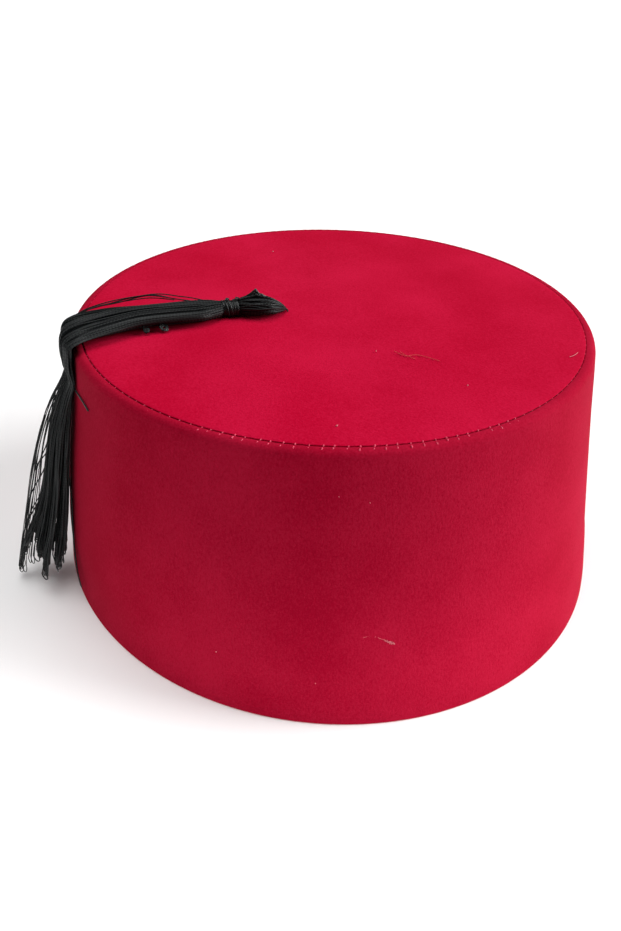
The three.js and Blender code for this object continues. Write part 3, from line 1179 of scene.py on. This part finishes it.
SEWN_DOWN = [
    [(17.4, -3.6, 87.4), (15.8, -4.1, 86.7), (14.6, -4.3, 85.7), (13.9, -4.5, 84.8)],
    [(17.0, -2.8, 87.2), (15.6, -3.0, 86.6), (14.7, -3.4, 85.6), (14.2, -3.6, 84.8)],
]
for route in SEWN_DOWN:
    head_threads.add(to_hat(smooth_path(route, 5)), THREAD_RADIUS * 0.8)
head = head_threads.build("head_threads", black_thread)

# %% [markdown]
# The tie is one thread wound round the neck a dozen times. Its turns lie close and a little uneven, and
# its ends are knotted on top of the head, where they stand up in a small peak.

# %% Tie and knot
TIE_TURNS = 12
TURN_STEPS = 28
WINDING_RADIUS = 0.25
TIE_LONG, TIE_TALL = TIE_RADIUS + 0.15, TIE_RADIUS - 0.15
tie_axis_z = ON_CROWN + TIE_RADIUS - 0.1
winding = Threads(sides=6)
tie_core = [(out, TIE_SIDE, tie_axis_z) for out in np.linspace(TIE_START + 0.1, TIE_END - 0.1, 8)]
winding.add(to_hat(tie_core), TIE_TALL - 2 * WINDING_RADIUS + 0.05)
helix = []
for step in range(TIE_TURNS * TURN_STEPS + 1):
    turn = 2 * math.pi * step / TURN_STEPS
    along = step / (TIE_TURNS * TURN_STEPS)
    swell = 0.10 * math.sin(math.pi * along) + 0.10 * math.sin(0.37 * turn) - WINDING_RADIUS
    out = TIE_START + WINDING_RADIUS + (TIE_END - TIE_START - 2 * WINDING_RADIUS) * along
    out += 0.10 * math.sin(0.81 * turn)
    side = TIE_SIDE - 0.9 * (along - 0.5) + (TIE_LONG + swell) * math.cos(turn)
    helix.append((out, side, tie_axis_z + (TIE_TALL + swell) * math.sin(turn)))
winding.add(to_hat(helix), WINDING_RADIUS)
CROSSING_TURNS = [(0.6, 3.2, 0.9), (2.2, 4.6, 2.4), (1.2, 5.0, 4.2)]  # start, end, phase
OVER_STEPS = 18
for start, end, phase in CROSSING_TURNS:
    over = []
    for step in range(OVER_STEPS + 1):
        u = step / OVER_STEPS
        turn = phase + 2 * math.pi * u
        lift = WINDING_RADIUS * (1.1 * math.sin(math.pi * u) - 0.2)
        side = TIE_SIDE + (TIE_LONG + lift) * math.cos(turn)
        z = tie_axis_z + (TIE_TALL + lift) * math.sin(turn)
        over.append((TIE_START + start + (end - start) * u, side, z))
    winding.add(to_hat([clear_of_felt(point, WINDING_RADIUS) for point in over]), WINDING_RADIUS * 0.95)
tie = winding.build("tie_winding", wound_thread)

# The knot: loops that peak over the head, and a small trefoil where the ends are drawn through each other
knot_threads = Threads(sides=6)
PEAK_OUT, PEAK_SIDE = 24.8, -4.2
HEAD_TOP = ON_CROWN + 6.1
PEAKS = [
    # spread along the tassel at the foot, to each side of the peak, height above the head's top
    (2.6, -1.4, 2.0), (2.0, -2.0, 1.8), (1.3, -1.0, 1.4), (3.1, -2.4, 1.0), (2.2, -2.6, 0.5),
]
for number, (toward_tie, toward_tip, rise) in enumerate(PEAKS):
    lean = 0.35 * (number % 3 - 1)
    route = [
        (PEAK_OUT + toward_tie + 1.2, PEAK_SIDE + lean, HEAD_TOP - 1.2),
        (PEAK_OUT + toward_tie * 0.75, PEAK_SIDE + lean, HEAD_TOP + 0.15 * rise),
        (PEAK_OUT + 0.45, PEAK_SIDE - lean * 0.5, HEAD_TOP + 0.85 * rise),
        (PEAK_OUT, PEAK_SIDE, HEAD_TOP + rise),
        (PEAK_OUT - 0.45, PEAK_SIDE + lean * 0.5, HEAD_TOP + 0.8 * rise),
        (PEAK_OUT + toward_tip * 0.8, PEAK_SIDE - lean, HEAD_TOP + 0.1),
        (PEAK_OUT + toward_tip - 1.2, PEAK_SIDE - lean, HEAD_TOP - 1.3),
    ]
    knot_threads.add(to_hat(smooth_path(route, 5)), THREAD_RADIUS)
TREFOIL = 0.62
TREFOIL_STEPS = 42
trefoil = []
for step in range(TREFOIL_STEPS + 1):
    turn = step / TREFOIL_STEPS * 2 * math.pi
    reach_out = math.sin(turn) + 2 * math.sin(2 * turn)
    reach_side = math.cos(turn) - 2 * math.cos(2 * turn)
    lift = -math.sin(3 * turn)
    out = PEAK_OUT - 0.4 + TREFOIL * 0.42 * reach_out
    side = PEAK_SIDE + 0.6 + TREFOIL * 0.42 * reach_side
    trefoil.append((out, side, HEAD_TOP + 0.35 + TREFOIL * 0.5 * lift))
knot_threads.add(to_hat(trefoil), THREAD_RADIUS)
TIE_ENDS = [
    [
        (30.6, -6.2, 89.4), (30.2, -5.2, 90.5), (30.5, -4.2, 90.9),
        (31.2, -3.8, 90.7), (31.0, -4.8, 91.0), (30.0, -5.6, 90.4),
    ],
    [
        (33.6, -6.4, 89.4), (33.2, -5.4, 90.5), (33.7, -4.4, 90.9),
        (34.5, -4.1, 90.6), (34.0, -5.1, 90.9), (33.2, -6.0, 90.2),
    ],
]
for route in TIE_ENDS:
    knot_threads.add(to_hat(smooth_path(route, 6)), THREAD_RADIUS)
knot = knot_threads.build("knotted_ends", wound_thread)

# %% [markdown]
# Felt picks up lint. One pale tuft with a tail sits low on the front of the band, a straw-coloured fibre
# lies on the crown, and there are a few specks. Each is a handful of very fine curled threads.


# %% Lint
def felt_spot(kind, angle, measure, lift):
    """A place on the crown (measure is the radius) or on the band (measure is the height)."""
    a = math.radians(angle)
    if kind == "crown":
        return np.array((measure * math.cos(a), measure * math.sin(a), HEIGHT + lift))
    radius = band_radius(measure) + lift
    return np.array((radius * math.cos(a), radius * math.sin(a), measure))


def fluff(threads, centre, size, fibres, radius):
    """A small tangle of curled fibres about a place on the felt."""
    for _ in range(fibres):
        points = []
        for _ in range(5):
            shift = [random_source.gauss(0, size * 0.45) for _ in range(3)]
            points.append(centre + np.array(shift) * (1, 1, 0.6))
        threads.add(smooth_path(points, 4), radius)


pale = Threads(sides=4)
TUFT_START, TUFT_END = (305.9, 30.7), (309.0, 28.0)  # angle and height
TUFT_CLUMPS = 12
TUFT_FIBRE = 0.055
for clump in range(TUFT_CLUMPS):
    share = clump / (TUFT_CLUMPS - 1)
    angle = TUFT_START[0] + (TUFT_END[0] - TUFT_START[0]) * share
    z = TUFT_START[1] + (TUFT_END[1] - TUFT_START[1]) * share
    size = 0.16 + 0.62 * share**1.5
    fluff(pale, felt_spot("band", angle, z, 0.3), size, 4 + round(8 * share), TUFT_FIBRE)
tail = [felt_spot("band", angle, z, 0.3) for angle, z in ((306.0, 30.6), (305.0, 30.9), (303.8, 30.6))]
pale.add(smooth_path(tail), 0.09)
side_arc = [felt_spot("band", angle, z, 0.25) for angle, z in ((303.4, 29.0), (303.6, 27.4), (304.6, 26.2))]
pale.add(smooth_path(side_arc), 0.07)
SPECKS = [
    # on what, angle, radius or height, size
    ("band", 295.9, 14.9, 0.34), ("band", 278.0, 19.6, 0.24),
    ("band", 298.7, 73.5, 0.10), ("band", 304.0, 71.7, 0.10),
    ("crown", 298.2, 69.6, 0.30), ("crown", 335.9, 59.9, 0.20),
    ("crown", 141.1, 57.0, 0.30), ("crown", 322.0, 30.5, 0.20),
]
for kind, angle, measure, size in SPECKS:
    fluff(pale, felt_spot(kind, angle, measure, 0.25), size, 4, 0.05 + 0.1 * size)
dash = [felt_spot("crown", angle, radius, 0.3) for angle, radius in ((5.4, 75.2), (6.8, 76.4), (8.4, 77.2))]
pale.add(smooth_path(dash), 0.09)
pale_fluff = pale.build("pale_lint", pale_lint)

straw = Threads(sides=4)
FIBRES = [
    # angle and radius
    [(330.6, 32.9), (331.2, 35.2), (332.2, 37.2), (335.6, 38.0), (337.2, 38.7), (338.6, 40.6), (340.5, 45.4)],
    [(333.0, 34.0), (332.6, 37.0), (334.0, 40.0)],
]
for fibre in FIBRES:
    straw.add(smooth_path([felt_spot("crown", angle, radius, 0.35) for angle, radius in fibre]), 0.08)
straw_fibre = straw.build("straw_fibre", straw_lint)

# %% [markdown]
# The hat has no joints, so every piece rides on the one body, and the CAD nodes that a piece stands for
# are hidden. Each row also names the material slot of the record that the piece belongs to; nothing here
# uses it.

# %% Ride and replace
PIECES = [
    # piece, CAD nodes that it stands for, material slot
    (crown, ["crown_tip"], "crown_felt"),
    (band, ["side_band"], "band_felt"),
    (seam_stitches, [], "band_felt"),
    (head, ["tassel_head"], "tassel_thread"),
    (tie, ["tassel_tie"], "tie_thread"),
    (knot, ["tie_knot"], "tie_thread"),
    (skirt_inner, ["tassel_skirt"], "tassel_thread"),
    (skirt_outer, [], "tassel_thread"),
    (skirt_strays, [], "tassel_thread"),
    (pale_fluff, [], "band_felt"),
    (straw_fibre, [], "crown_felt"),
]
for piece, nodes, slot_name in PIECES:
    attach(piece, "root")
    if nodes:
        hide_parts(*nodes)
